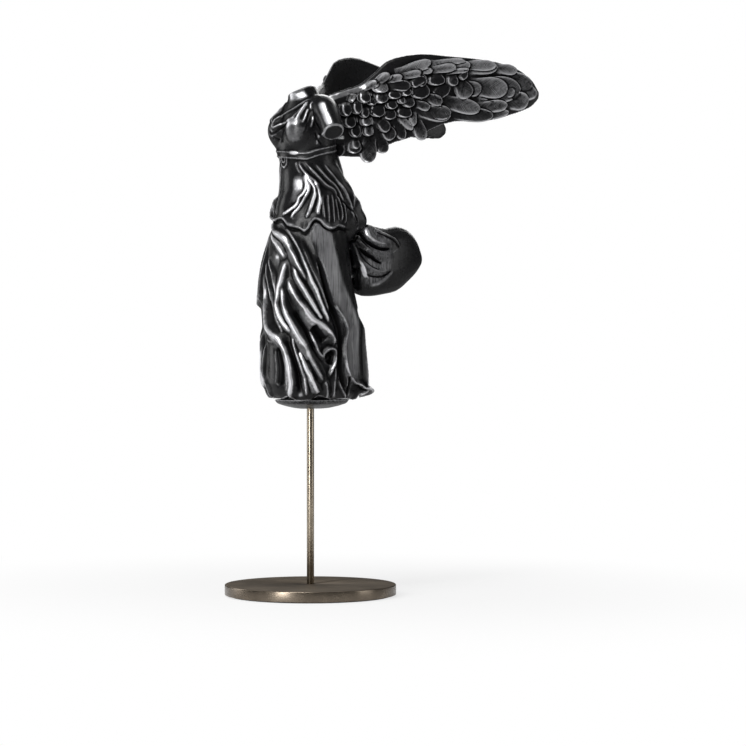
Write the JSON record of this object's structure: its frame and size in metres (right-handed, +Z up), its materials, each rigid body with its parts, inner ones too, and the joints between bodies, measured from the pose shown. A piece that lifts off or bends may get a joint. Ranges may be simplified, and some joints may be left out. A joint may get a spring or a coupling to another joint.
{
  "type": "winged figure trophy",
  "caption": "Headless draped winged figure on a slim rod and round base; the figure turns on the rod.",
  "frame": {"origin": "centre of the base's underside, where the felt pad meets the table", "axes": "+Z up along the rod; -Y is the way the figure faces; +X is the figure's own left"},
  "size_m": [0.15, 0.2743, 0.481],
  "materials": {
    "black_resin": "black patina with rubbed graphite highlights, semi-gloss",
    "bronzed_steel": "dark bronze plating, brushed, satin",
    "bronzed_rod": "bronze plating, polished",
    "zinc_steel": "bright zinc",
    "brass": "turned",
    "felt": "pressed felt"
  },
  "bodies": {
    "stand": {"base_plate": "bronzed_steel", "base_pad": "felt", "base_screw": "zinc_steel", "base_washer": "zinc_steel", "support_rod": "bronzed_rod"},
    "figure": {"figure_body": "black_resin", "underside_cap": "black_resin", "rod_bush": "brass", "left_wing": "black_resin", "right_wing": "black_resin", "mantle_tail": "black_resin", "left_wing_upper_dowel": "zinc_steel", "left_wing_lower_dowel": "zinc_steel", "right_wing_upper_dowel": "zinc_steel", "right_wing_lower_dowel": "zinc_steel", "mantle_upper_dowel": "zinc_steel", "mantle_lower_dowel": "zinc_steel"}
  },
  "joints": [
    {"name": "figure_turn", "type": "hinge", "parent": "stand", "child": "figure", "pos_m": [0, 0, 0.19], "axis": [0, 0, 1], "continuous": true}
  ]
}
